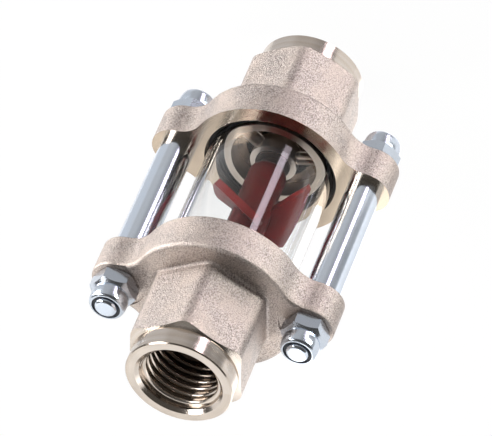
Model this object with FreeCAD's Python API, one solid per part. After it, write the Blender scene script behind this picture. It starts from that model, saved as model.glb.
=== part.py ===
import FreeCAD, Part
import math
import os

V = FreeCAD.Vector

# Flow indicator, millimetres. Flow axis on Z, outlet mouth on z = 0, ears along X.

# Cast fitting: eared flange, hexagon and turned collar
rod_spacing = 33.0
flange_diameter = 28.6
flange_thickness = 6.6
flange_edge_fillet = 0.75
ear_radius = 4.5
ear_blend_radius = 5.0
socket_length = 17.45
hex_across_flats = 19.0
hex_corner_radius = 2.4
hex_base_fillet = 0.6
hex_end_angle = 22.0
collar_diameter = 18.4
collar_length = 3.5
collar_chamfer = 0.2

# Threaded socket and water way
thread_diameter = 14.0
thread_length = 12.0
thread_lead_in = 0.58
bore_diameter = 11.4

# Sight glass and its flat seals
glass_diameter = 22.0
glass_wall = 1.4
glass_engagement = 1.8
glass_edge_chamfer = 0.25
glass_clearance = 0.66
seal_thickness = 1.0
seal_clearance = 0.15
seal_ledge = 0.1

# Tie rods and self-locking nuts
rod_shank_diameter = 6.0
rod_shank_length = 25.7
rod_thread_diameter = 3.95
rod_hole_clearance = 0.18
rod_projection = 0.5
rod_end_rounding = 0.65
spot_face_diameter = 10.0
spot_face_depth = 0.3
nut_across_flats = 7.0
nut_height = 5.8
nut_face_diameter = 6.4
nut_face_chamfer = 0.4
nut_hex_height = 3.05
nut_waist_diameter = 6.2
nut_waist_chamfer = 0.7
nut_dome_diameter = 6.45
nut_end_diameter = 5.8
nut_end_rounding = 0.6
nut_thread_clearance = 0.03
insert_diameter = 5.2
insert_height = 1.1
insert_clearance = 0.05
nut_lip_thickness = 0.3
nut_lip_width = 0.15

# Bearing spiders and bushes
spider_thickness = 3.2
spider_seat_depth = 1.55
spider_ring_width = 1.4
spider_clearance = 0.05
spider_seat_step = 0.6
spider_arm_diameter = 2.3
spider_arm_depth = 1.6
spider_arm_count = 3
spider_boss_diameter = 8.2
bush_body_diameter = 5.0
bush_body_length = 2.7
bush_shoulder_diameter = 6.1
bush_shoulder_height = 0.4
bush_nose_diameter = 4.0
bush_nose_height = 1.0
bush_end_wall = 0.5
bush_clearance = 0.03

# Impeller and axle
axle_diameter = 2.0
axle_running_clearance = 0.05
axle_end_play = 0.2
axle_point = 0.3
hub_diameter = 6.6
hub_end_gap = 0.3
hub_end_rounding = 1.6
hub_bore_clearance = 0.02
blade_count = 2
blade_tip_gap = 1.1
blade_thickness = 1.3
blade_pitch = 39.4
blade_drop = 0.75
blade_angle = 123.8
blade_heel = (0.0, -4.2)
blade_upper_root = (2.45, -5.6)
blade_lower_root = (0.95, 1.7)

# Outer corners of a blade, as shares of the tip radius
blade_upper_tip = (0.970, 0.205)
blade_bow = (0.692, 0.695)
blade_lower_tip = (0.310, 1.165)
blade_end = (0.235, 2.18)

# Set angles as the parts were assembled
spider_arm_angle = 75.0
inlet_nut_angle = 52.0
outlet_left_nut_angle = 12.0
outlet_right_nut_angle = 28.0

# Levels along the flow axis, from the outlet mouth up
flange_back = socket_length
flange_face = flange_back + flange_thickness
mid_level = flange_face + rod_shank_length / 2
glass_bottom = flange_face - glass_engagement
seal_floor = glass_bottom - seal_thickness
spider_floor = seal_floor - spider_seat_depth
spider_face = spider_floor + spider_thickness
bush_tip = spider_face + bush_shoulder_height + bush_nose_height
bush_base = spider_face - bush_body_length
bush_floor = bush_base + bush_end_wall
axle_bottom = bush_floor + axle_end_play
hub_bottom = bush_tip + hub_end_gap
nut_seat = flange_back + spot_face_depth
rod_bottom = nut_seat - nut_height - rod_projection

# Radii shared by pieces that fit together
rod_offset = rod_spacing / 2
glass_radius = glass_diameter / 2
glass_inner_radius = glass_radius - glass_wall
seal_bore_radius = glass_radius + glass_clearance
rod_thread_radius = rod_thread_diameter / 2
axle_radius = axle_diameter / 2
spider_seat_radius = glass_inner_radius - spider_seat_step
spider_radius = spider_seat_radius - spider_clearance
hub_radius = hub_diameter / 2
blade_tip_radius = glass_inner_radius - blade_tip_gap


def turned(points):
    """Solid of revolution about Z from (radius, level) points."""
    corners = [V(radius, 0, level) for radius, level in points]
    profile = Part.makePolygon(corners + corners[:1])
    return Part.Face(profile).revolve(V(0, 0, 0), V(0, 0, 1), 360)


def hexagon(across_flats, bottom, height, vertex_angle):
    """Hexagonal prism about Z with one vertex at the given angle."""
    corner = across_flats / math.sqrt(3)
    points = []
    for step in range(7):
        angle = math.radians(vertex_angle + 60 * step)
        points.append(V(corner * math.cos(angle), corner * math.sin(angle), bottom))
    return Part.Face(Part.makePolygon(points)).extrude(V(0, 0, height))


def at_inlet(shape):
    """The same shape turned over to the inlet end."""
    turned_over = shape.copy()
    turned_over.rotate(V(0, 0, mid_level), V(1, 0, 0), 180)
    return turned_over


def shifted(shape, x):
    """The same shape moved along the ears."""
    moved = shape.copy()
    moved.translate(V(x, 0, 0))
    return moved


def flange_outline():
    """Round flange with two ears, blended by concave arcs."""
    flange_radius = flange_diameter / 2
    disc_reach = flange_radius + ear_blend_radius
    ear_reach = ear_radius + ear_blend_radius
    blend_x = (rod_offset**2 + disc_reach**2 - ear_reach**2) / (2 * rod_offset)
    blend_y = math.sqrt(disc_reach**2 - blend_x**2)
    blend = V(blend_x, blend_y, 0)
    ear = V(rod_offset, 0, 0)
    on_disc = blend * (flange_radius / disc_reach)
    on_ear = ear + (blend - ear) * (ear_radius / ear_reach)
    inward = (on_disc + on_ear) * 0.5 - blend
    on_blend = blend + inward * (ear_blend_radius / inward.Length)

    def place(point, side_x, side_y):
        return V(point.x * side_x, point.y * side_y, flange_back)

    edges = []
    for side_x in (1, -1):
        tip = place(V(rod_offset + ear_radius, 0, 0), side_x, 1)
        edges.append(Part.Arc(place(on_ear, side_x, -1), tip, place(on_ear, side_x, 1)).toShape())
        for side_y in (1, -1):
            points = [place(point, side_x, side_y) for point in (on_ear, on_blend, on_disc)]
            edges.append(Part.Arc(*points).toShape())
    for side_y in (1, -1):
        crown = V(0, flange_radius * side_y, flange_back)
        edges.append(Part.Arc(place(on_disc, 1, side_y), crown, place(on_disc, -1, side_y)).toShape())
    return Part.Wire(Part.__sortEdges__(edges))


def edges_at(shape, level):
    """Edges that lie wholly in one level."""
    box_limits = [(edge, edge.BoundBox) for edge in shape.Edges]
    return [edge for edge, box in box_limits if abs(box.ZMin - level) + abs(box.ZMax - level) < 1e-6]


def fitting_hexagon():
    """Cast hexagon with rounded edges and a turned end, vertices on the Y axis."""
    collar_radius = collar_diameter / 2
    prism = hexagon(hex_across_flats, 0, flange_back + hex_base_fillet, 90)
    upright = [edge for edge in prism.Edges if abs(edge.BoundBox.ZLength - prism.BoundBox.ZLength) < 1e-6]
    prism = prism.makeFillet(hex_corner_radius, upright)
    spread = hex_across_flats / 2
    rise = spread * math.tan(math.radians(hex_end_angle))
    turned_end = [
        (0, collar_length),
        (collar_radius, collar_length),
        (collar_radius + spread, collar_length + rise),
        (collar_radius + spread, flange_face),
        (0, flange_face),
    ]
    return prism.common(turned(turned_end))


def fitting_water_way():
    """Everything bored from the socket mouth to the flange face."""
    thread_radius = thread_diameter / 2
    bore_radius = bore_diameter / 2
    thread_end = thread_lead_in + thread_length
    return turned(
        [
            (0, 0),
            (thread_radius + thread_lead_in, 0),
            (thread_radius, thread_lead_in),
            (thread_radius, thread_end),
            (bore_radius, thread_end + thread_radius - bore_radius),
            (bore_radius, spider_floor),
            (spider_seat_radius, spider_floor),
            (spider_seat_radius, seal_floor),
            (seal_bore_radius, seal_floor),
            (seal_bore_radius, flange_face),
            (0, flange_face),
        ]
    )


def make_fitting():
    """Cast and machined fitting, in the outlet place."""
    flange = Part.Face(flange_outline()).extrude(V(0, 0, flange_thickness))
    flange = flange.makeFillet(flange_edge_fillet, edges_at(flange, flange_back))
    body = flange.fuse(fitting_hexagon()).removeSplitter()
    base_limit = math.hypot(hex_across_flats / math.sqrt(3), flange_back)
    base = [edge for edge in edges_at(body, flange_back) if edge.CenterOfMass.Length < base_limit]
    body = body.makeFillet(hex_base_fillet, base)
    collar_radius = collar_diameter / 2
    collar = turned(
        [
            (0, 0),
            (collar_radius - collar_chamfer, 0),
            (collar_radius, collar_chamfer),
            (collar_radius, collar_length + hex_base_fillet),
            (0, collar_length + hex_base_fillet),
        ]
    )
    body = body.fuse(collar).removeSplitter()
    body = body.cut(fitting_water_way())
    hole = Part.makeCylinder(rod_thread_radius + rod_hole_clearance, flange_face, V(0, 0, 0))
    spot_face = Part.makeCylinder(spot_face_diameter / 2, nut_height, V(0, 0, nut_seat - nut_height))
    rod_seat = hole.fuse(spot_face)
    for side in (-1, 1):
        body = body.cut(shifted(rod_seat, side * rod_offset))
    return body


def make_sight_glass():
    """Clear tube with eased ends, sealed between the two fittings."""
    top = 2 * mid_level - glass_bottom
    ease = glass_edge_chamfer
    return turned(
        [
            (glass_inner_radius + ease, glass_bottom),
            (glass_radius - ease, glass_bottom),
            (glass_radius, glass_bottom + ease),
            (glass_radius, top - ease),
            (glass_radius - ease, top),
            (glass_inner_radius + ease, top),
            (glass_inner_radius, top - ease),
            (glass_inner_radius, glass_bottom + ease),
        ]
    )


def make_seal():
    """Flat ring between the glass end and the floor of its bore."""
    outer = seal_bore_radius - seal_clearance
    inner = spider_seat_radius + seal_ledge
    return turned([(inner, seal_floor), (outer, seal_floor), (outer, glass_bottom), (inner, glass_bottom)])


def make_tie_rod():
    """Shouldered rod with a threaded end through each flange."""
    top = 2 * mid_level - rod_bottom
    shank_radius = rod_shank_diameter / 2
    shank_top = flange_face + rod_shank_length
    rod = turned(
        [
            (0, rod_bottom),
            (rod_thread_radius, rod_bottom),
            (rod_thread_radius, flange_face),
            (shank_radius, flange_face),
            (shank_radius, shank_top),
            (rod_thread_radius, shank_top),
            (rod_thread_radius, top),
            (0, top),
        ]
    )
    return rod.makeFillet(rod_end_rounding, edges_at(rod, rod_bottom) + edges_at(rod, top))


def make_nut(vertex_angle):
    """Self-locking nut in the outlet place: chamfered hexagon and domed collar with a rolled lip."""
    nut_bottom = nut_seat - nut_height
    waist_level = nut_seat - nut_hex_height
    corner = nut_across_flats / math.sqrt(3)
    waist = V(nut_waist_diameter / 2, 0, waist_level)
    dome = V(nut_dome_diameter / 2, 0, (waist_level + nut_bottom) / 2)
    end = V(nut_end_diameter / 2, 0, nut_bottom)
    hex_side = [
        V(corner, 0, waist_level + nut_waist_chamfer),
        V(corner, 0, nut_seat - nut_face_chamfer),
        V(nut_face_diameter / 2, 0, nut_seat),
    ]
    straight = Part.makePolygon([waist] + hex_side + [V(0, 0, nut_seat), V(0, 0, nut_bottom), end])
    profile = Part.Wire(Part.__sortEdges__([Part.Arc(waist, dome, end).toShape()] + straight.Edges))
    blank = Part.Face(profile).revolve(V(0, 0, 0), V(0, 0, 1), 360)
    body = hexagon(nut_across_flats, nut_bottom, nut_height, vertex_angle).common(blank)
    body = body.makeFillet(nut_end_rounding, edges_at(body, nut_bottom))
    bore_radius = rod_thread_radius + nut_thread_clearance
    pocket_radius = insert_diameter / 2 + insert_clearance
    pocket_bottom = nut_bottom + nut_lip_thickness
    pocket_top = pocket_bottom + insert_height + insert_clearance
    hollow = turned(
        [
            (0, nut_bottom),
            (pocket_radius - nut_lip_width, nut_bottom),
            (pocket_radius - nut_lip_width, pocket_bottom),
            (pocket_radius, pocket_bottom),
            (pocket_radius, pocket_top),
            (bore_radius, pocket_top),
            (bore_radius, nut_seat),
            (0, nut_seat),
        ]
    )
    return body.cut(hollow)


def make_insert():
    """Locking ring held by the nut's rolled lip, in the outlet place."""
    bottom = nut_seat - nut_height + nut_lip_thickness
    inner = rod_thread_radius + nut_thread_clearance
    outer = insert_diameter / 2
    top = bottom + insert_height
    return turned([(inner, bottom), (outer, bottom), (outer, top), (inner, top)])


def make_spider(arm_angle):
    """Ring with three round arms and a boss for the bush, in the outlet place."""
    ring_inner = spider_radius - spider_ring_width
    ring = Part.makeCylinder(spider_radius, spider_thickness, V(0, 0, spider_floor))
    ring = ring.cut(Part.makeCylinder(ring_inner, spider_thickness, V(0, 0, spider_floor)))
    boss_radius = spider_boss_diameter / 2
    arm_length = ring_inner + spider_ring_width / 2
    arm_start = V(0, 0, spider_face - spider_arm_depth)
    arm = Part.makeCylinder(spider_arm_diameter / 2, arm_length, arm_start, V(1, 0, 0))
    arms = []
    for step in range(spider_arm_count):
        copy = arm.copy()
        copy.rotate(V(0, 0, 0), V(0, 0, 1), arm_angle + step * 360 / spider_arm_count)
        arms.append(copy)
    boss = Part.makeCylinder(boss_radius, spider_thickness, V(0, 0, spider_floor))
    body = ring.multiFuse(arms + [boss]).removeSplitter()
    hole_radius = bush_body_diameter / 2 + bush_clearance
    return body.cut(Part.makeCylinder(hole_radius, spider_thickness, V(0, 0, spider_floor)))


def make_bush():
    """Blind bearing bush with a shoulder on the boss and a narrow nose."""
    body_radius = bush_body_diameter / 2
    shoulder_radius = bush_shoulder_diameter / 2
    nose_radius = bush_nose_diameter / 2
    shoulder_top = spider_face + bush_shoulder_height
    bore_radius = axle_radius + axle_running_clearance
    return turned(
        [
            (0, bush_base),
            (body_radius, bush_base),
            (body_radius, spider_face),
            (shoulder_radius, spider_face),
            (shoulder_radius, shoulder_top),
            (nose_radius, shoulder_top),
            (nose_radius, bush_tip),
            (bore_radius, bush_tip),
            (bore_radius, bush_floor),
            (0, bush_floor),
        ]
    )


def make_axle():
    """Plain axle through the hub, running in both bushes."""
    top = 2 * mid_level - axle_bottom
    point_radius = axle_radius - axle_point
    return turned(
        [
            (0, axle_bottom),
            (point_radius, axle_bottom),
            (axle_radius, axle_bottom + axle_point),
            (axle_radius, top - axle_point),
            (point_radius, top),
            (0, top),
        ]
    )


def blade_outline():
    """Flat outline of a blade, with a bowed outer edge that runs past the tip circle."""
    below = -blade_thickness / 2
    upper, bow, lower, end = [
        V(share[0] * blade_tip_radius, share[1] * blade_tip_radius, below)
        for share in (blade_upper_tip, blade_bow, blade_lower_tip, blade_end)
    ]
    roots = [V(x, y, below) for x, y in (blade_lower_root, blade_heel, blade_upper_root)]
    straight = Part.makePolygon([lower, end] + roots + [upper])
    return Part.Wire(Part.__sortEdges__([Part.Arc(upper, bow, lower).toShape()] + straight.Edges))


def make_blade(angle):
    """Flat blade, tilted about its level line and rounded to the tip circle."""
    plate = Part.Face(blade_outline()).extrude(V(0, 0, blade_thickness))
    plate.rotate(V(0, 0, 0), V(1, 0, 0), -blade_pitch)
    plate.rotate(V(0, 0, 0), V(0, 0, 1), angle)
    plate.translate(V(0, 0, mid_level - blade_drop))
    return plate.common(Part.makeCylinder(blade_tip_radius, 2 * mid_level))


def make_impeller():
    """Hub and blades in one moulding, bored for the axle."""
    hub_length = 2 * (mid_level - hub_bottom)
    hub = Part.makeCylinder(hub_radius, hub_length, V(0, 0, hub_bottom))
    ends = edges_at(hub, hub_bottom) + edges_at(hub, hub_bottom + hub_length)
    hub = hub.makeFillet(hub_end_rounding, ends)
    blades = [make_blade(blade_angle + step * 360 / blade_count) for step in range(blade_count)]
    body = hub.multiFuse(blades)
    bore = Part.makeCylinder(axle_radius + hub_bore_clearance, hub_length, V(0, 0, hub_bottom))
    return body.cut(bore)


def build():
    """All pieces in place, by node name."""
    fitting = make_fitting()
    seal = make_seal()
    bush = make_bush()
    rod = make_tie_rod()
    insert = make_insert()
    pieces = {
        "outlet_fitting": fitting,
        "inlet_fitting": at_inlet(fitting),
        "sight_glass": make_sight_glass(),
        "outlet_glass_seal": seal,
        "inlet_glass_seal": at_inlet(seal),
        "outlet_bearing_spider": make_spider(spider_arm_angle),
        "inlet_bearing_spider": at_inlet(make_spider(-spider_arm_angle)),
        "outlet_bearing_bush": bush,
        "inlet_bearing_bush": at_inlet(bush),
        "impeller": make_impeller(),
        "impeller_axle": make_axle(),
    }
    sides = {"left": (-rod_offset, outlet_left_nut_angle), "right": (rod_offset, outlet_right_nut_angle)}
    for side, (x, outlet_nut_angle) in sides.items():
        pieces[side + "_tie_rod"] = shifted(rod, x)
        pieces["outlet_" + side + "_nut"] = shifted(make_nut(outlet_nut_angle), x)
        pieces["inlet_" + side + "_nut"] = at_inlet(shifted(make_nut(-inlet_nut_angle), x))
        pieces["outlet_" + side + "_insert"] = shifted(insert, x)
        pieces["inlet_" + side + "_insert"] = at_inlet(shifted(insert, x))
    return pieces


os.makedirs("parts", exist_ok=True)
for name, shape in build().items():
    shape.exportStep("parts/" + name + ".step")
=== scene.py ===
import math

import bmesh
import bpy
from mathutils import Matrix, Vector


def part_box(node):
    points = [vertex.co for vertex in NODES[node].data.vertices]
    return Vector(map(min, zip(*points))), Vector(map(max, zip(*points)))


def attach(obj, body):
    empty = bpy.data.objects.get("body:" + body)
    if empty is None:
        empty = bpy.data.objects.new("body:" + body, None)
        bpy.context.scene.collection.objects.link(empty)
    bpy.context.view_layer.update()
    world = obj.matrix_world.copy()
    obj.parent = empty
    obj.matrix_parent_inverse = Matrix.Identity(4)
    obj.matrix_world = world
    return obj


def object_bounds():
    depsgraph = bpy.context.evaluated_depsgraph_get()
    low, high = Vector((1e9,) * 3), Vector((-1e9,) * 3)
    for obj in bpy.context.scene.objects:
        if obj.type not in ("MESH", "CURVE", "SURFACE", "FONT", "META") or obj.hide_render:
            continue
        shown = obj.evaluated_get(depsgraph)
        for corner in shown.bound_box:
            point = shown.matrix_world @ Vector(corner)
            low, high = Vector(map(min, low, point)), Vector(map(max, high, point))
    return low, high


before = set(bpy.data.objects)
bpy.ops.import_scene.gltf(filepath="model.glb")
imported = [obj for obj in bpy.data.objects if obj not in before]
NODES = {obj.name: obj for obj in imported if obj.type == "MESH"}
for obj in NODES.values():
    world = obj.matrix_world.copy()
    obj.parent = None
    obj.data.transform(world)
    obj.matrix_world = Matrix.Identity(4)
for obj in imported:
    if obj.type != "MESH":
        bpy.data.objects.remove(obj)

bl_info = {
    "name": "Impeller flow indicator",
    "version": (1, 0, 0),
    "blender": (4, 5, 0),
    "location": "View3D > Sidebar > Flow indicator",
    "description": "Dresses a flow indicator: plated fittings, glass tube, red impeller, tie rods",
    "category": "Object",
}

CAD_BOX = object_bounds()
MM = 0.001
HOUSING = "housing"

inlet_low, inlet_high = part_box("inlet_fitting")
outlet_low, outlet_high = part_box("outlet_fitting")
INLET_MOUTH = inlet_high.z
OUTLET_MOUTH = outlet_low.z
MID_LEVEL = (INLET_MOUTH + OUTLET_MOUTH) / 2
HALF_LENGTH = (INLET_MOUTH - OUTLET_MOUTH) / 2
FLANGE_FACE = (inlet_low.z - outlet_high.z) / 2
MIDDLE = Vector((0.0, 0.0, MID_LEVEL))
ALONG = (0.0, 0.0, 1.0)
ACROSS = (0.0, 1.0, 0.0)
LAMP_DISTANCE = 1.0

# Where the finishes change, in millimetres. Radii are measured from the flow axis, depths from
# the nearer mouth and offsets from the middle of the part. Pairs are the two ends of a fade.
CONE_ANGLE = math.radians(22.0)
CONE_DEPTH = 3.54
COLLAR_RADIUS = 9.2
COLLAR_DEPTH = 3.48
BORE_RADIUS = 7.7
BORE_FADE = (2.5, 9.5)
SEAT_RADIUS = 12.0
SEAT_OFFSET = 17.3
SPIDER_SEAT_RADIUS = 9.1
FACE_MARGIN = 0.03
BOSS_FADE = (4.05, 4.4)
RING_FADE = (7.6, 7.3)
BLADE_FADE = (3.3, 6.5)

# Spans of noise that are spread over a whole mask
MIDDLE_SPAN = (0.3, 0.7)
UPPER_SPAN = (0.35, 0.7)

# How strongly one part of a finish counts beside another
PITS_PER_GRAIN = 1.15
PIT_SHARE = 0.35
RING_SHARE = 0.10
SCRATCH_SHARE = 0.06
# Share of painted shade at the bottom of a fitting's bore
BORE_PAINTED_SHADE_SHARE = 0.85
FLOOR_WHITE_SHARE = 0.97

# Shares of red, green and blue that turn a finish's own colour into its variants
CAST_HOLLOWS = (0.30, 0.28, 0.27)
CAST_WARM = (0.97, 0.93, 0.89)
TURNED_DULL = (0.92, 0.89, 0.85)
# Painted reflection and shade on the flanges' inner faces: darker and browner
INNER_FACE_PAINTED_REFLECTION = (0.86, 0.79, 0.69)
SPIDER_DULL = (0.90, 0.87, 0.82)
ZINC_GREY = (0.98, 0.96, 0.94)
RED_DEEP = (0.72, 0.6, 0.6)
SEAL_WORN = (1.7, 1.7, 1.7)
PLASTIC_PALE = (1.5, 1.5, 1.5)
ROOM_SHADED = (0.55, 0.55, 0.56)

WHITE = (1.0, 1.0, 1.0, 1.0)
# Painted shade: the dark brown that bores and spider arms are blended to, where little light
# reaches
BORE_PAINTED_SHADE = (0.14, 0.10, 0.075, 1.0)
STEEL_DARK = (0.52, 0.52, 0.53, 1.0)
STEEL_PALE = (0.62, 0.62, 0.62, 1.0)
GLASS_CLEAR = (0.997, 1.0, 0.999, 1.0)
ROOM_LEFT = (0.63, 0.635, 0.65, 1.0)
ROOM_BEHIND_CAMERA = (0.07, 0.065, 0.06, 1.0)


class IndicatorSizes(bpy.types.PropertyGroup):
    """Sizes of the detail that the scene adds to the solids"""

    thread_pitch: bpy.props.FloatProperty(
        name="Thread pitch", description="Pitch of the thread in both mouths",
        default=1.5 * MM, min=0.5 * MM, unit="LENGTH", precision=6)
    thread_root_radius: bpy.props.FloatProperty(
        name="Thread root radius",
        description="Radius of the socket wall that the ridges stand on",
        default=7.0 * MM, min=MM, unit="LENGTH", precision=6)
    thread_crest_radius: bpy.props.FloatProperty(
        name="Thread crest radius", description="Radius inside the crests of the ridges",
        default=6.2 * MM, min=MM, unit="LENGTH", precision=6)
    thread_start: bpy.props.FloatProperty(
        name="Thread start", description="Depth of the first ridge below the mouth",
        default=0.75 * MM, min=0.0, unit="LENGTH", precision=6)
    thread_end: bpy.props.FloatProperty(
        name="Thread end", description="Depth of the last ridge below the mouth",
        default=12.2 * MM, min=MM, unit="LENGTH", precision=6)
    thread_lead_in: bpy.props.FloatProperty(
        name="Thread lead-in",
        description="Depth of the cone at the mouth that cuts the first ridge",
        default=0.58 * MM, min=0.0, unit="LENGTH", precision=6)
    thread_steps: bpy.props.IntProperty(
        name="Thread steps", description="Steps in one turn of the thread",
        default=72, min=24, max=180)


class IndicatorFinishes(bpy.types.PropertyGroup):
    """Colours of the finishes"""

    cast_nickel: bpy.props.FloatVectorProperty(
        name="Cast nickel", description="Sand cast brass under matt nickel plating",
        default=(0.634, 0.5635, 0.524), size=3, min=0.0, max=1.0, subtype="COLOR")
    turned_nickel: bpy.props.FloatVectorProperty(
        name="Turned nickel", description="Turned faces under bright nickel plating",
        default=(0.715, 0.645, 0.58), size=3, min=0.0, max=1.0, subtype="COLOR")
    zinc: bpy.props.FloatVectorProperty(
        name="Zinc", description="Blue zinc plating of the rods and nuts",
        default=(0.80, 0.885, 1.0), size=3, min=0.0, max=1.0, subtype="COLOR")
    impeller_red: bpy.props.FloatVectorProperty(
        name="Impeller red", description="Moulded red plastic of the impeller's hub",
        default=(0.098, 0.003, 0.0025), size=3, min=0.0, max=1.0, subtype="COLOR")
    # Painted light: the blades are the hub's plastic, paler because light shining through them is
    # painted in
    blade_lit_red: bpy.props.FloatVectorProperty(
        name="Blade red", description="Paler red of the thin blades, which light shines into",
        default=(0.225, 0.009, 0.008), size=3, min=0.0, max=1.0, subtype="COLOR")
    seal_black: bpy.props.FloatVectorProperty(
        name="Seal black", description="Rubber of the glass seals",
        default=(0.016, 0.017, 0.02), size=3, min=0.0, max=1.0, subtype="COLOR")
    bush_brown: bpy.props.FloatVectorProperty(
        name="Bush brown", description="Dark bearing plastic of the bushes",
        default=(0.030, 0.017, 0.014), size=3, min=0.0, max=1.0, subtype="COLOR")
    insert_black: bpy.props.FloatVectorProperty(
        name="Insert black", description="Locking ring in the nuts",
        default=(0.012, 0.014, 0.02), size=3, min=0.0, max=1.0, subtype="COLOR")


class IndicatorStage(bpy.types.PropertyGroup):
    """Floor, lamps and camera"""

    floor_size: bpy.props.FloatProperty(
        name="Floor size", description="Edge of the pale floor",
        default=6.0, min=0.5, unit="LENGTH")
    ambient: bpy.props.FloatProperty(
        name="Ambient", description="Level of the even light around the part",
        default=0.65, min=0.0, max=2.0)
    room_colour: bpy.props.FloatVectorProperty(
        name="Room", description="Tone of the room that shiny surfaces mirror above the table",
        default=(0.52, 0.51, 0.505), size=3, min=0.0, max=1.0, subtype="COLOR")
    key_power: bpy.props.FloatProperty(
        name="Key power", description="Power of the key lamp",
        default=2.4, min=0.0, unit="POWER")
    camera_lens: bpy.props.FloatProperty(
        name="Lens", description="Focal length for a sensor 36 mm wide",
        default=368.8, min=1.0)


def sizes():
    return bpy.context.scene.indicator_sizes


def finishes():
    return bpy.context.scene.indicator_finishes


def staging():
    return bpy.context.scene.indicator_stage


def rgba(colour):
    return (colour[0], colour[1], colour[2], 1.0)


def tinted(colour, shares):
    """Opaque colour with red, green and blue scaled by their shares"""
    return tuple(channel * share for channel, share in zip(colour, shares)) + (1.0,)


def grey(level):
    return (level, level, level, 1.0)


class NodeBoard:
    """Adds the nodes of one node tree side by side and links them"""

    COLUMN_WIDTH = 190

    def __init__(self, tree):
        self.tree = tree
        self.column = 0

    def add(self, kind, **settings):
        node = self.tree.nodes.new(kind)
        node.location = (self.column * self.COLUMN_WIDTH, 0)
        self.column += 1
        for key, value in settings.items():
            setattr(node, key, value)
        return node

    def link(self, source, target):
        self.tree.links.new(source, target)

    def feed(self, socket, value):
        """Links another node's output to a socket, or sets the socket's constant"""
        if isinstance(value, bpy.types.NodeSocket):
            self.link(value, socket)
        else:
            socket.default_value = value

    def maths(self, operation, *values):
        node = self.add("ShaderNodeMath", operation=operation)
        for socket, value in zip(node.inputs, values):
            self.feed(socket, value)
        return node.outputs[0]

    def remap(self, value, low, high, to_low=0.0, to_high=1.0, smooth=False):
        """Spreads the values from low to high over those from to_low to to_high"""
        node = self.add("ShaderNodeMapRange", clamp=True)
        if smooth:
            node.interpolation_type = "SMOOTHSTEP"
        self.feed(node.inputs["Value"], value)
        node.inputs["From Min"].default_value = low
        node.inputs["From Max"].default_value = high
        self.feed(node.inputs["To Min"], to_low)
        self.feed(node.inputs["To Max"], to_high)
        return node.outputs["Result"]

    def blend(self, factor, first, second):
        node = self.add("ShaderNodeMix", data_type="RGBA")
        self.feed(node.inputs["Factor"], factor)
        self.feed(node.inputs["A"], first)
        self.feed(node.inputs["B"], second)
        return node.outputs["Result"]

    def scaled(self, vector, factors):
        node = self.add("ShaderNodeVectorMath", operation="MULTIPLY")
        self.link(vector, node.inputs[0])
        node.inputs[1].default_value = factors
        return node.outputs[0]

    def split(self, vector):
        node = self.add("ShaderNodeSeparateXYZ")
        self.link(vector, node.inputs[0])
        return node.outputs

    def noise(self, vector, scale, detail=2.0, roughness=0.5):
        node = self.add("ShaderNodeTexNoise")
        self.link(vector, node.inputs["Vector"])
        self.feed(node.inputs["Scale"], scale)
        node.inputs["Detail"].default_value = detail
        node.inputs["Roughness"].default_value = roughness
        return node.outputs["Fac"]

    def matt(self, level):
        node = self.add("ShaderNodeBsdfDiffuse")
        node.inputs["Color"].default_value = grey(level)
        return node.outputs[0]

    def glow(self, strength):
        node = self.add("ShaderNodeEmission")
        node.inputs["Color"].default_value = WHITE
        self.feed(node.inputs["Strength"], strength)
        return node.outputs[0]

    def mixed(self, factor, first, second):
        node = self.add("ShaderNodeMixShader")
        self.link(factor, node.inputs["Fac"])
        self.link(first, node.inputs[1])
        self.link(second, node.inputs[2])
        return node.outputs[0]

    def end(self, kind, shader):
        self.link(shader, self.add(kind).inputs["Surface"])


def bare_board(holder):
    """Empty node tree of a material or a world"""
    holder.use_nodes = True
    holder.node_tree.nodes.clear()
    return NodeBoard(holder.node_tree)


def new_group(name, inputs, outputs):
    """Node group with its sockets, a board to fill it, and its two end nodes"""
    group = bpy.data.node_groups.new(name, "ShaderNodeTree")
    for label, kind, default in inputs:
        socket = group.interface.new_socket(name=label, in_out="INPUT", socket_type=kind)
        if default is not None:
            socket.default_value = default
    for label, kind in outputs:
        group.interface.new_socket(name=label, in_out="OUTPUT", socket_type=kind)
    board = NodeBoard(group)
    entry = board.add("NodeGroupInput")
    leave = group.nodes.new("NodeGroupOutput")
    return group, board, entry, leave


def put_out(board, leave, values):
    for label, value in values.items():
        board.link(value, leave.inputs[label])


def millimetre_group():
    """Object coordinates in millimetres, and what follows from them about the flow axis"""
    group, board, entry, leave = new_group(
        "Millimetres from axis",
        [("Object", "NodeSocketVector", None)],
        [("Place", "NodeSocketVector"), ("Radius", "NodeSocketFloat"),
         ("Offset", "NodeSocketFloat"), ("Around", "NodeSocketVector")])
    place = board.scaled(entry.outputs["Object"], (1000.0, 1000.0, 1000.0))
    x, y, z = board.split(place)
    square = board.maths("MULTIPLY_ADD", y, y, board.maths("MULTIPLY", x, x))
    radius = board.maths("SQRT", square)
    level = board.maths("SUBTRACT", z, MID_LEVEL / MM)
    around = board.add("ShaderNodeCombineXYZ")
    board.link(radius, around.inputs[0])
    board.link(level, around.inputs[1])
    board.link(board.maths("ARCTAN2", y, x), around.inputs[2])
    put_out(board, leave, {"Place": place, "Radius": radius, "Around": around.outputs[0],
                           "Offset": board.maths("ABSOLUTE", level)})
    return group


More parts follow.
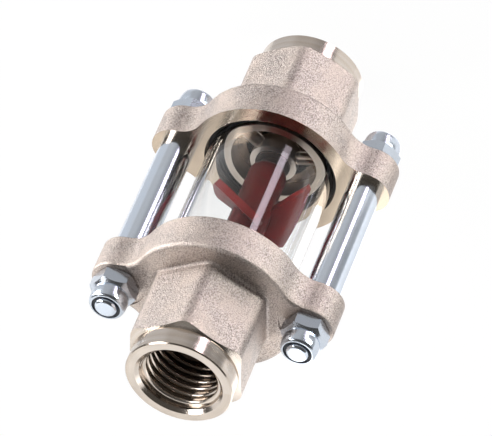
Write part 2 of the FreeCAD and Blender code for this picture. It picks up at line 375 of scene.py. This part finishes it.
def cast_grain_group():
    """Fine sand grain of a casting: a height and a tone, and a broad cloud"""
    group, board, entry, leave = new_group(
        "Sand cast grain",
        [("Place", "NodeSocketVector", None), ("Grain scale", "NodeSocketFloat", 4.6)],
        [("Height", "NodeSocketFloat"), ("Tone", "NodeSocketFloat"), ("Cloud", "NodeSocketFloat")])
    place = entry.outputs["Place"]
    scale = entry.outputs["Grain scale"]
    grains = board.noise(place, scale, detail=2.5, roughness=0.62)
    pits = board.add("ShaderNodeTexVoronoi", feature="F1")
    board.link(place, pits.inputs["Vector"])
    board.link(board.maths("MULTIPLY", scale, PITS_PER_GRAIN), pits.inputs["Scale"])
    pit_depth = board.remap(pits.outputs["Distance"], low=0.05, high=0.6)
    put_out(board, leave, {
        "Height": board.maths("MULTIPLY_ADD", pit_depth, PIT_SHARE, grains),
        "Tone": board.remap(grains, low=0.36, high=0.60),
        "Cloud": board.noise(place, scale=0.22, detail=3.0, roughness=0.55)})
    return group


def turned_ring_group():
    """Fine tool rings of a lathe round the flow axis, and a broad smear along them"""
    group, board, entry, leave = new_group(
        "Lathe rings",
        [("Around", "NodeSocketVector", None), ("Rings per mm", "NodeSocketFloat", 9.0)],
        [("Height", "NodeSocketFloat"), ("Smear", "NodeSocketFloat")])
    stretched = board.scaled(entry.outputs["Around"], (1.0, 1.0, 0.12))
    put_out(board, leave, {
        "Height": board.noise(stretched, entry.outputs["Rings per mm"], roughness=0.6),
        "Smear": board.noise(stretched, scale=1.1)})
    return group


def fine_wear_group():
    """Handling marks: smudges, and thin scratches in two directions"""
    group, board, entry, leave = new_group(
        "Handling marks",
        [("Place", "NodeSocketVector", None)],
        [("Smudge", "NodeSocketFloat"), ("Scratch", "NodeSocketFloat")])
    place = entry.outputs["Place"]
    lengthwise = board.noise(board.scaled(place, (9.0, 9.0, 0.55)), scale=1.0, detail=1.0)
    crosswise = board.noise(board.scaled(place, (0.7, 0.7, 8.0)), scale=1.0, detail=1.0)
    put_out(board, leave, {
        "Smudge": board.noise(place, scale=0.33, detail=3.0, roughness=0.6),
        "Scratch": board.maths("MAXIMUM", board.remap(lengthwise, low=0.62, high=0.75),
                               board.remap(crosswise, low=0.66, high=0.78))})
    return group


def turned_zone_group():
    """Masks on a fitting: all its turned faces, the depth of its bore, and its inner face"""
    group, board, entry, leave = new_group(
        "Turned zones of a fitting",
        [("Radius", "NodeSocketFloat", 0.0), ("Offset", "NodeSocketFloat", 0.0)],
        [("Turned", "NodeSocketFloat"), ("Deep", "NodeSocketFloat"),
         ("Inner face", "NodeSocketFloat")])
    radius = entry.outputs["Radius"]
    offset = entry.outputs["Offset"]
    depth = board.maths("SUBTRACT", HALF_LENGTH / MM, offset)
    slope = math.tan(CONE_ANGLE)
    cone = board.maths("MULTIPLY_ADD", radius, slope, CONE_DEPTH - COLLAR_RADIUS * slope)
    turned = board.maths("LESS_THAN", depth, cone)
    on_collar = board.maths("LESS_THAN", depth, COLLAR_DEPTH)
    in_bore = board.maths("LESS_THAN", radius, BORE_RADIUS)
    on_face = board.maths("LESS_THAN", offset, FLANGE_FACE / MM + FACE_MARGIN)
    at_seats = board.maths("LESS_THAN", offset, SEAT_OFFSET)
    in_seat = board.maths("MULTIPLY", board.maths("LESS_THAN", radius, SEAT_RADIUS), at_seats)
    for zone in (on_collar, in_bore, on_face, in_seat):
        turned = board.maths("MAXIMUM", turned, zone)
    in_spider_seat = board.maths(
        "MULTIPLY", board.maths("LESS_THAN", radius, SPIDER_SEAT_RADIUS), at_seats)
    water_way = board.maths("MAXIMUM", in_bore, in_spider_seat)
    deep = board.maths("MULTIPLY", board.remap(depth, *BORE_FADE, smooth=True), water_way)
    put_out(board, leave, {"Turned": turned, "Deep": deep, "Inner face": on_face})
    return group


GROUP_MAKERS = {
    "millimetres": millimetre_group,
    "grain": cast_grain_group,
    "rings": turned_ring_group,
    "wear": fine_wear_group,
    "zones": turned_zone_group,
}
GROUPS = {}


def shared_group(key):
    if key not in GROUPS:
        GROUPS[key] = GROUP_MAKERS[key]()
    return GROUPS[key]


def new_finish(name):
    """Material with its board, its coordinates in millimetres and its surface shader"""
    material = bpy.data.materials.new(name)
    board = bare_board(material)
    coordinate = board.add("ShaderNodeTexCoord")
    millimetres = board.add("ShaderNodeGroup", node_tree=shared_group("millimetres"))
    board.link(coordinate.outputs["Object"], millimetres.inputs["Object"])
    surface = board.add("ShaderNodeBsdfPrincipled")
    board.end("ShaderNodeOutputMaterial", surface.outputs["BSDF"])
    return material, board, millimetres, surface


def placed_group(board, millimetres, key):
    """Shared group whose inputs take the coordinates of the same name"""
    node = board.add("ShaderNodeGroup", node_tree=shared_group(key))
    for socket in node.inputs:
        source = millimetres.outputs.get(socket.name)
        if source is not None:
            board.link(source, socket)
    return node


def add_bump(board, surface, height, strength, distance):
    bump = board.add("ShaderNodeBump")
    bump.inputs["Strength"].default_value = strength
    bump.inputs["Distance"].default_value = distance
    board.link(height, bump.inputs["Height"])
    board.link(bump.outputs["Normal"], surface.inputs["Normal"])


def fitting_finish():
    """Matt sand cast nickel, bright where the casting was turned, with painted shade down the bore
    and a painted reflection on the flange's inner face
    """
    material, board, millimetres, surface = new_finish("Plated fitting")
    grain = placed_group(board, millimetres, "grain")
    rings = placed_group(board, millimetres, "rings")
    zones = placed_group(board, millimetres, "zones")
    wear = placed_group(board, millimetres, "wear")
    turned = zones.outputs["Turned"]
    cast = finishes().cast_nickel
    cast_colour = board.blend(grain.outputs["Tone"], tinted(cast, CAST_HOLLOWS), rgba(cast))
    warmth = board.remap(grain.outputs["Cloud"], low=0.4, high=0.75, to_high=0.7)
    cast_colour = board.blend(warmth, cast_colour, tinted(cast, CAST_WARM))
    bright = finishes().turned_nickel
    smear = board.remap(rings.outputs["Smear"], *UPPER_SPAN)
    turned_colour = board.blend(smear, rgba(bright), tinted(bright, TURNED_DULL))
    # Painted reflection and shade: the inner face of each flange is darkened and browned where it
    # would mirror the red impeller
    turned_colour = board.blend(zones.outputs["Inner face"], turned_colour,
                                tinted(bright, INNER_FACE_PAINTED_REFLECTION))
    # Painted shade: the turned bore darkens to brown with its depth
    painted_bore_shade = board.maths("MULTIPLY", zones.outputs["Deep"], BORE_PAINTED_SHADE_SHARE)
    turned_colour = board.blend(painted_bore_shade, turned_colour, BORE_PAINTED_SHADE)
    board.link(board.blend(turned, cast_colour, turned_colour), surface.inputs["Base Color"])
    cast_roughness = board.remap(grain.outputs["Cloud"], *MIDDLE_SPAN, to_low=0.40, to_high=0.48)
    turned_roughness = board.remap(wear.outputs["Smudge"], *UPPER_SPAN, to_low=0.13, to_high=0.22)
    board.link(board.remap(turned, 0.0, 1.0, cast_roughness, turned_roughness),
               surface.inputs["Roughness"])
    surface.inputs["Metallic"].default_value = 1.0
    ring_height = board.maths("MULTIPLY", rings.outputs["Height"], RING_SHARE)
    height = board.remap(turned, 0.0, 1.0, grain.outputs["Height"], ring_height)
    add_bump(board, surface, height, strength=1.0, distance=0.10 * MM)
    return material


def turned_finish(name, bore_shade_share, arm_shade_share, roughness):
    """Bright nickel of spiders and thread ridges, with painted shade down the bore and on the
    spider arms
    """
    material, board, millimetres, surface = new_finish(name)
    rings = placed_group(board, millimetres, "rings")
    zones = placed_group(board, millimetres, "zones")
    wear = placed_group(board, millimetres, "wear")
    radius = millimetres.outputs["Radius"]
    bright = finishes().turned_nickel
    smear = board.remap(rings.outputs["Smear"], *UPPER_SPAN)
    colour = board.blend(smear, rgba(bright), tinted(bright, SPIDER_DULL))
    # Painted shade: darker with depth down the bore
    painted_bore_shade = board.maths("MULTIPLY", zones.outputs["Deep"], bore_shade_share)
    colour = board.blend(painted_bore_shade, colour, BORE_PAINTED_SHADE)
    # Painted shade on the spider arms, which lie deep in the bore
    outside_boss = board.remap(radius, *BOSS_FADE, to_high=arm_shade_share)
    inside_ring = board.remap(radius, *RING_FADE)
    painted_arm_shade = board.maths("MULTIPLY", outside_boss, inside_ring)
    board.link(board.blend(painted_arm_shade, colour, BORE_PAINTED_SHADE), surface.inputs["Base Color"])
    board.link(board.remap(wear.outputs["Smudge"], *UPPER_SPAN, roughness, roughness + 0.11),
               surface.inputs["Roughness"])
    surface.inputs["Metallic"].default_value = 1.0
    height = board.maths("MULTIPLY_ADD", wear.outputs["Scratch"], -SCRATCH_SHARE,
                         rings.outputs["Height"])
    add_bump(board, surface, height, strength=0.25, distance=0.03 * MM)
    return material


def zinc_finish(name, shade, roughness):
    """Blue zinc plating with faint drawing lines"""
    material, board, millimetres, surface = new_finish(name)
    wear = placed_group(board, millimetres, "wear")
    scratch = wear.outputs["Scratch"]
    blue = tinted(finishes().zinc, (shade, shade, shade))
    smudge = board.remap(wear.outputs["Smudge"], *MIDDLE_SPAN)
    board.link(board.blend(smudge, blue, tinted(blue, ZINC_GREY)), surface.inputs["Base Color"])
    even = board.remap(wear.outputs["Smudge"], *MIDDLE_SPAN, roughness, roughness + 0.04)
    board.link(board.maths("MULTIPLY_ADD", scratch, 0.03, even), surface.inputs["Roughness"])
    surface.inputs["Metallic"].default_value = 1.0
    add_bump(board, surface, board.maths("MULTIPLY", scratch, -1.0),
             strength=0.03, distance=0.01 * MM)
    return material


def axle_finish():
    """Ground steel of the axle"""
    material, board, millimetres, surface = new_finish("Ground steel")
    smudge = placed_group(board, millimetres, "wear").outputs["Smudge"]
    board.link(board.blend(smudge, STEEL_DARK, STEEL_PALE), surface.inputs["Base Color"])
    board.link(board.remap(smudge, *MIDDLE_SPAN, to_low=0.18, to_high=0.28),
               surface.inputs["Roughness"])
    surface.inputs["Metallic"].default_value = 1.0
    return material


def glass_finish():
    """Clear drawn glass with faint draw lines along the tube"""
    material, board, millimetres, surface = new_finish("Drawn glass")
    surface.inputs["Base Color"].default_value = GLASS_CLEAR
    surface.inputs["Metallic"].default_value = 0.0
    surface.inputs["Transmission Weight"].default_value = 1.0
    surface.inputs["IOR"].default_value = 1.43
    stretched = board.scaled(millimetres.outputs["Place"], (1.3, 1.3, 0.03))
    lines = board.noise(stretched, scale=1.0, detail=1.0)
    board.link(board.remap(lines, *UPPER_SPAN, to_high=0.02), surface.inputs["Roughness"])
    add_bump(board, surface, lines, strength=0.025, distance=0.04 * MM)
    return material


def impeller_finish():
    """Satin red moulded plastic, with painted light on the thin blades, and ripples from the mould
    """
    material, board, millimetres, surface = new_finish("Red moulded plastic")
    smudge = placed_group(board, millimetres, "wear").outputs["Smudge"]
    red = finishes().impeller_red
    colour = board.blend(board.remap(smudge, *MIDDLE_SPAN), tinted(red, RED_DEEP), rgba(red))
    # Painted light: the blades are blended to the paler red
    on_blade = board.remap(millimetres.outputs["Radius"], *BLADE_FADE)
    board.link(board.blend(on_blade, colour, rgba(finishes().blade_lit_red)),
               surface.inputs["Base Color"])
    board.link(board.remap(smudge, low=0.3, high=0.75, to_low=0.34, to_high=0.46),
               surface.inputs["Roughness"])
    surface.inputs["Specular IOR Level"].default_value = 0.12
    surface.inputs["Subsurface Weight"].default_value = 0.1
    surface.inputs["Subsurface Radius"].default_value = (1.0, 0.18, 0.12)
    surface.inputs["Subsurface Scale"].default_value = 1.2 * MM
    surface.inputs["IOR"].default_value = 1.49
    ripple = board.noise(millimetres.outputs["Place"], scale=0.9)
    add_bump(board, surface, ripple, strength=0.10, distance=0.06 * MM)
    return material


def rubber_finish():
    """Black rubber of the glass seals"""
    material, board, millimetres, surface = new_finish("Seal rubber")
    grain = placed_group(board, millimetres, "grain")
    grain.inputs["Grain scale"].default_value = 6.0
    cloud = grain.outputs["Cloud"]
    black = finishes().seal_black
    board.link(board.blend(cloud, rgba(black), tinted(black, SEAL_WORN)),
               surface.inputs["Base Color"])
    board.link(board.remap(cloud, *MIDDLE_SPAN, to_low=0.48, to_high=0.62),
               surface.inputs["Roughness"])
    add_bump(board, surface, grain.outputs["Height"], strength=0.2, distance=0.04 * MM)
    return material


def plain_plastic_finish(name, dark, roughness):
    """Matt machined plastic of a bush or a locking ring"""
    material, board, millimetres, surface = new_finish(name)
    rings = placed_group(board, millimetres, "rings")
    smear = rings.outputs["Smear"]
    board.link(board.blend(smear, rgba(dark), tinted(dark, PLASTIC_PALE)),
               surface.inputs["Base Color"])
    surface.inputs["Specular IOR Level"].default_value = 0.3
    board.link(board.remap(smear, *MIDDLE_SPAN, roughness, roughness + 0.1),
               surface.inputs["Roughness"])
    add_bump(board, surface, rings.outputs["Height"], strength=0.2, distance=0.03 * MM)
    return material


def dress(material, *names):
    for name in names:
        mesh_object = NODES[name]
        if not mesh_object.material_slots:
            mesh_object.data.materials.append(material)
        for slot in mesh_object.material_slots:
            slot.material = material


def new_object(name, bm, material):
    """Object in the scene from a bmesh, which is freed"""
    mesh = bpy.data.meshes.new(name)
    bm.to_mesh(mesh)
    bm.free()
    mesh.materials.append(material)
    made = bpy.data.objects.new(name, mesh)
    bpy.context.scene.collection.objects.link(made)
    return made


def keep_piece(name, bm, material, body):
    """Turns a bmesh into a finished piece that rides a body"""
    bmesh.ops.recalc_face_normals(bm, faces=bm.faces)
    piece = new_object(name, bm, material)
    piece.data.shade_smooth()
    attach(piece, body)


def thread_ridge(name, material, mouth, inward):
    """One helical ridge in a socket, from its mouth inwards"""
    size = sizes()
    pitch = size.thread_pitch
    reach = size.thread_end - size.thread_start
    sunk = 0.03 * MM
    rounding = 0.10 * MM
    root = size.thread_root_radius + sunk
    crest = size.thread_crest_radius
    flank = [(root, 0.47), (crest + rounding, 0.13), (crest, 0.05)]
    outline = [(radius, -share) for radius, share in flank] + flank[::-1]
    bm = bmesh.new()
    corners = [bm.verts.new((radius, 0.0, share * pitch)) for radius, share in outline]
    profile = bm.faces.new(corners)
    turns = reach / pitch
    steps = round(turns * size.thread_steps)
    rise = Vector((0.0, 0.0, inward * reach / steps))
    bmesh.ops.spin(bm, geom=list(profile.edges) + [profile], cent=(0.0, 0.0, 0.0),
                   axis=(0.0, 0.0, inward), dvec=rise, angle=turns * math.tau, steps=steps,
                   use_duplicate=False)
    run_out = 0.3 * pitch
    for vert in bm.verts:
        along = abs(vert.co.z)
        ease = min(1.0, along / run_out, max(0.0, reach - along) / run_out)
        radius = math.hypot(vert.co.x, vert.co.y)
        eased = root - (root - radius) * max(0.0, ease)
        mouth_cone = root + size.thread_lead_in - size.thread_start - inward * vert.co.z
        pushed = max(eased, mouth_cone)
        vert.co.x *= pushed / radius
        vert.co.y *= pushed / radius
    start = mouth + inward * size.thread_start
    bmesh.ops.translate(bm, verts=bm.verts, vec=(0.0, 0.0, start))
    keep_piece(name, bm, material, HOUSING)


class FLOWIND_OT_fittings(bpy.types.Operator):
    """Give both fittings and spiders their nickel, and lay the thread ridges in both mouths"""

    bl_idname = "flowind.fittings"
    bl_label = "Fittings and socket threads"

    def execute(self, context):
        dress(fitting_finish(), "inlet_fitting", "outlet_fitting")
        # The ridges take painted shade that darkens them down the bore
        ridge_nickel = turned_finish(
            "Socket thread nickel", bore_shade_share=0.8, arm_shade_share=0.0, roughness=0.14)
        thread_ridge("inlet_socket_thread", ridge_nickel, INLET_MOUTH, -1.0)
        thread_ridge("outlet_socket_thread", ridge_nickel, OUTLET_MOUTH, 1.0)
        # The spider takes painted shade on its arms
        spider_nickel = turned_finish(
            "Spider nickel", bore_shade_share=0.0, arm_shade_share=0.85, roughness=0.28)
        dress(spider_nickel, "inlet_bearing_spider", "outlet_bearing_spider")
        return {"FINISHED"}


class FLOWIND_OT_sight_glass(bpy.types.Operator):
    """Give the tube its drawn glass and the seals their rubber"""

    bl_idname = "flowind.sight_glass"
    bl_label = "Sight glass and seals"

    def execute(self, context):
        dress(glass_finish(), "sight_glass")
        dress(rubber_finish(), "inlet_glass_seal", "outlet_glass_seal")
        return {"FINISHED"}


class FLOWIND_OT_impeller(bpy.types.Operator):
    """Give the impeller its red plastic, and the axle and bushes their finishes"""

    bl_idname = "flowind.impeller"
    bl_label = "Impeller, axle and bushes"

    def execute(self, context):
        dress(impeller_finish(), "impeller")
        dress(axle_finish(), "impeller_axle")
        dress(plain_plastic_finish("Bush plastic", finishes().bush_brown, roughness=0.36),
              "inlet_bearing_bush", "outlet_bearing_bush")
        return {"FINISHED"}


class FLOWIND_OT_rods_and_nuts(bpy.types.Operator):
    """Give the tie rods and lock nuts their zinc, and the locking rings their plastic"""

    bl_idname = "flowind.rods_and_nuts"
    bl_label = "Tie rods and lock nuts"

    def execute(self, context):
        dress(zinc_finish("Rod zinc", shade=1.0, roughness=0.15),
              "left_tie_rod", "right_tie_rod")
        dress(zinc_finish("Nut zinc", shade=0.86, roughness=0.18),
              "inlet_left_nut", "inlet_right_nut", "outlet_left_nut", "outlet_right_nut")
        dress(plain_plastic_finish("Locking ring plastic", finishes().insert_black, roughness=0.4),
              "inlet_left_insert", "inlet_right_insert",
              "outlet_left_insert", "outlet_right_insert")
        return {"FINISHED"}


def backdrop_light_path(board):
    """One for rays that show the backdrop: those of camera, glass and mirrors"""
    path = board.add("ShaderNodeLightPath")
    shown = board.maths("MAXIMUM", path.outputs["Is Camera Ray"],
                        path.outputs["Is Transmission Ray"])
    return board.maths("MAXIMUM", shown, path.outputs["Is Glossy Ray"])


def mirror_light_path(board):
    """One for rays that a shiny surface has turned, also when glass follows"""
    path = board.add("ShaderNodeLightPath")
    return board.maths("GREATER_THAN", path.outputs["Glossy Depth"], 0.5)


def floor_finish():
    """Pale floor that reads white and keeps a faint shadow"""
    material = bpy.data.materials.new("Pale floor")
    board = bare_board(material)
    white_share = board.maths("MULTIPLY", backdrop_light_path(board), FLOOR_WHITE_SHARE)
    board.end("ShaderNodeOutputMaterial",
              board.mixed(white_share, board.matt(0.9), board.glow(1.0)))
    return material


def table_finish():
    """White to glass rays; to mirrored rays a lit grey with one bright strip"""
    material = bpy.data.materials.new("White table")
    board = bare_board(material)
    coordinate = board.add("ShaderNodeTexCoord")
    x, _, _ = board.split(coordinate.outputs["Object"])
    strip = board.maths("MULTIPLY", board.remap(x, low=-8.0 * MM, high=-14.0 * MM),
                        board.remap(x, low=-25.0 * MM, high=-21.0 * MM))
    lit = board.add("ShaderNodeAddShader")
    board.link(board.matt(0.36), lit.inputs[0])
    board.link(board.glow(board.remap(strip, 0.0, 1.0, to_low=0.42, to_high=1.5)), lit.inputs[1])
    board.end("ShaderNodeOutputMaterial",
              board.mixed(mirror_light_path(board), board.glow(1.0), lit.outputs[0]))
    return material


def card_finish(level, glow):
    """Matt card of one grey level, which may glow a little"""
    material = bpy.data.materials.new("Studio card")
    material.use_nodes = True
    surface = material.node_tree.nodes["Principled BSDF"]
    surface.inputs["Base Color"].default_value = grey(level)
    surface.inputs["Roughness"].default_value = 1.0
    surface.inputs["Emission Color"].default_value = WHITE
    surface.inputs["Emission Strength"].default_value = glow
    return material


def aim(direction, distance, roll_axis):
    """Matrix of something that looks at the middle of the part from a distance"""
    back = Vector(direction).normalized()
    side = Vector(roll_axis).cross(back).normalized()
    up = back.cross(side)
    turn = Matrix((side, up, back)).transposed().to_4x4()
    turn.translation = MIDDLE + back * distance
    return turn


def add_sheet(name, width, height, place, material, hidden_from):
    """Flat sheet of the stage that some kinds of rays pass by"""
    bm = bmesh.new()
    bmesh.ops.create_grid(bm, x_segments=1, y_segments=1, size=0.5)
    bmesh.ops.scale(bm, verts=bm.verts, vec=(width, height, 1.0))
    bmesh.ops.transform(bm, verts=bm.verts, matrix=place)
    sheet = new_object(name, bm, material)
    for rays in hidden_from:
        setattr(sheet, f"visible_{rays}", False)


def add_floor():
    edge = staging().floor_size
    add_sheet("floor", edge, edge, Matrix.Identity(4), floor_finish(),
              hidden_from=("shadow", "glossy", "transmission"))


def add_table():
    """Table under the lying part, met only in mirrored light and through the glass"""
    edge = 3.0
    left_edge = 57.0 * MM
    front_edge = INLET_MOUTH + 42.0 * MM
    level = CAD_BOX[1][1] + 0.4 * MM
    centre = Matrix.Translation((left_edge - edge / 2, level, front_edge - edge / 2))
    place = centre @ Matrix.Rotation(math.radians(90.0), 4, "X")
    add_sheet("table", edge, edge, place, table_finish(),
              hidden_from=("camera", "diffuse", "shadow"))


def add_card(name, direction, distance, width, height, level, roll_axis, glow=0.0):
    """Card that only shiny surfaces see"""
    add_sheet(name, width, height, aim(direction, distance, roll_axis), card_finish(level, glow),
              hidden_from=("camera", "diffuse", "transmission", "shadow"))


def add_lamp(name, direction, width, height, power, colour):
    """Oblong lamp that the camera does not see"""
    lamp = bpy.data.lights.new(name, "AREA")
    lamp.shape = "RECTANGLE"
    lamp.size = width
    lamp.size_y = height
    lamp.energy = power
    lamp.color = colour
    holder = bpy.data.objects.new(name, lamp)
    bpy.context.scene.collection.objects.link(holder)
    holder.matrix_world = aim(direction, LAMP_DISTANCE, ALONG)
    holder.visible_camera = False


def add_camera():
    """Camera in the place that was fitted to the photograph"""
    camera = bpy.data.cameras.new("Photo camera")
    camera.lens = staging().camera_lens
    camera.sensor_width = 36.0
    camera.clip_start = 0.05
    camera.clip_end = 50.0
    holder = bpy.data.objects.new("Photo camera", camera)
    bpy.context.scene.collection.objects.link(holder)
    right = Vector((-0.95329, 0.0, -0.30204))
    up = Vector((0.22101, -0.68161, -0.69753))
    back = Vector((-0.20587, -0.73171, 0.64977))
    turn = Matrix((right, up, back)).transposed().to_4x4()
    turn.translation = Vector((-0.17314, -0.61735, 0.58390))
    holder.matrix_world = turn
    bpy.context.scene.camera = holder


def light_world():
    """Even light, a white backdrop, and a grey room that only mirrored light meets"""
    world = bpy.data.worlds.new("Studio")
    bpy.context.scene.world = world
    board = bare_board(world)
    coordinate = board.add("ShaderNodeTexCoord")
    x, y, z = board.split(coordinate.outputs["Generated"])
    room = staging().room_colour
    toward_right = board.remap(x, low=0.25, high=-0.32, smooth=True)
    room_colour = board.blend(toward_right, rgba(room), tinted(room, ROOM_SHADED))
    tilted = board.maths("MULTIPLY_ADD", board.maths("MINIMUM", x, 0.0), 0.3, y)
    above_table = board.remap(tilted, low=0.10, high=-0.45, smooth=True)
    room_colour = board.blend(above_table, WHITE, room_colour)
    toward_left = board.remap(x, low=0.50, high=0.62, smooth=True)
    room_colour = board.blend(toward_left, room_colour, ROOM_LEFT)
    toward_camera = board.remap(z, low=0.05, high=0.45, smooth=True)
    room_colour = board.blend(toward_camera, room_colour, ROOM_BEHIND_CAMERA)
    even = board.add("ShaderNodeBackground")
    even.inputs["Color"].default_value = WHITE
    even.inputs["Strength"].default_value = staging().ambient
    seen = board.add("ShaderNodeBackground")
    board.link(board.blend(mirror_light_path(board), WHITE, room_colour), seen.inputs["Color"])
    seen.inputs["Strength"].default_value = 1.0
    board.end("ShaderNodeOutputWorld",
              board.mixed(backdrop_light_path(board), even.outputs[0], seen.outputs[0]))


class FLOWIND_OT_stage(bpy.types.Operator):
    """Lay the pale floor, hang the lamps and set the camera"""

    bl_idname = "flowind.stage"
    bl_label = "Floor, lamps and camera"

    def execute(self, context):
        add_floor()
        light_world()
        add_lamp("Key lamp", direction=(-0.372, -0.663, -0.65), width=0.17, height=0.8,
                 power=staging().key_power, colour=(1.0, 0.87, 0.98))
        add_lamp("Left lamp", direction=(0.93, -0.27, -0.12), width=0.7, height=0.4,
                 power=9.6, colour=(1.0, 0.99, 0.98))
        add_lamp("Right lamp", direction=(-0.71, -0.54, -0.25), width=0.5, height=0.2,
                 power=5.6, colour=(0.985, 1.0, 0.97))
        add_lamp("Near lamp", direction=(0.70, -0.40, 0.60), width=0.4, height=0.4,
                 power=4.0, colour=(1.0, 0.98, 0.98))
        add_lamp("Table lamp", direction=(0.46, 0.50, 0.73), width=0.4, height=0.4,
                 power=5.5, colour=(1.0, 0.97, 0.92))
        add_table()
        add_card("black_card", direction=(-0.20, 0.05, 1.0), distance=1.0, width=0.5, height=0.55,
                 level=0.012, roll_axis=ACROSS)
        add_card("grey_card", direction=(0.21, 0.05, 1.0), distance=1.02, width=0.32, height=0.4,
                 level=0.17, roll_axis=ACROSS)
        add_card("white_card", direction=(-0.613, -0.192, -0.766), distance=0.1305, width=0.08,
                 height=0.045, level=0.25, roll_axis=ALONG, glow=0.5)
        add_camera()
        context.scene.view_settings.view_transform = "Standard"
        return {"FINISHED"}


STEPS = (FLOWIND_OT_fittings, FLOWIND_OT_sight_glass, FLOWIND_OT_impeller,
         FLOWIND_OT_rods_and_nuts, FLOWIND_OT_stage)
STORES = {
    "indicator_sizes": IndicatorSizes,
    "indicator_finishes": IndicatorFinishes,
    "indicator_stage": IndicatorStage,
}


class FLOWIND_PT_panel(bpy.types.Panel):
    """Lists the steps that dress the flow indicator, and its sizes and colours"""

    bl_idname = "FLOWIND_PT_panel"
    bl_label = "Flow indicator"
    bl_space_type = "VIEW_3D"
    bl_region_type = "UI"
    bl_category = "Flow indicator"

    def draw(self, context):
        for step in STEPS:
            self.layout.operator(step.bl_idname)
        for store in STORES:
            group = getattr(context.scene, store)
            for key in group.bl_rna.properties.keys():
                if key not in ("rna_type", "name"):
                    self.layout.prop(group, key)


def register():
    for name, store in STORES.items():
        bpy.utils.register_class(store)
        setattr(bpy.types.Scene, name, bpy.props.PointerProperty(type=store))
    for step in STEPS:
        bpy.utils.register_class(step)
    bpy.utils.register_class(FLOWIND_PT_panel)


def unregister():
    bpy.utils.unregister_class(FLOWIND_PT_panel)
    for step in reversed(STEPS):
        bpy.utils.unregister_class(step)
    for name, store in reversed(STORES.items()):
        delattr(bpy.types.Scene, name)
        bpy.utils.unregister_class(store)


def main():
    register()
    bpy.ops.flowind.fittings()
    bpy.ops.flowind.sight_glass()
    bpy.ops.flowind.impeller()
    bpy.ops.flowind.rods_and_nuts()
    bpy.ops.flowind.stage()


if __name__ == "__main__":
    main()
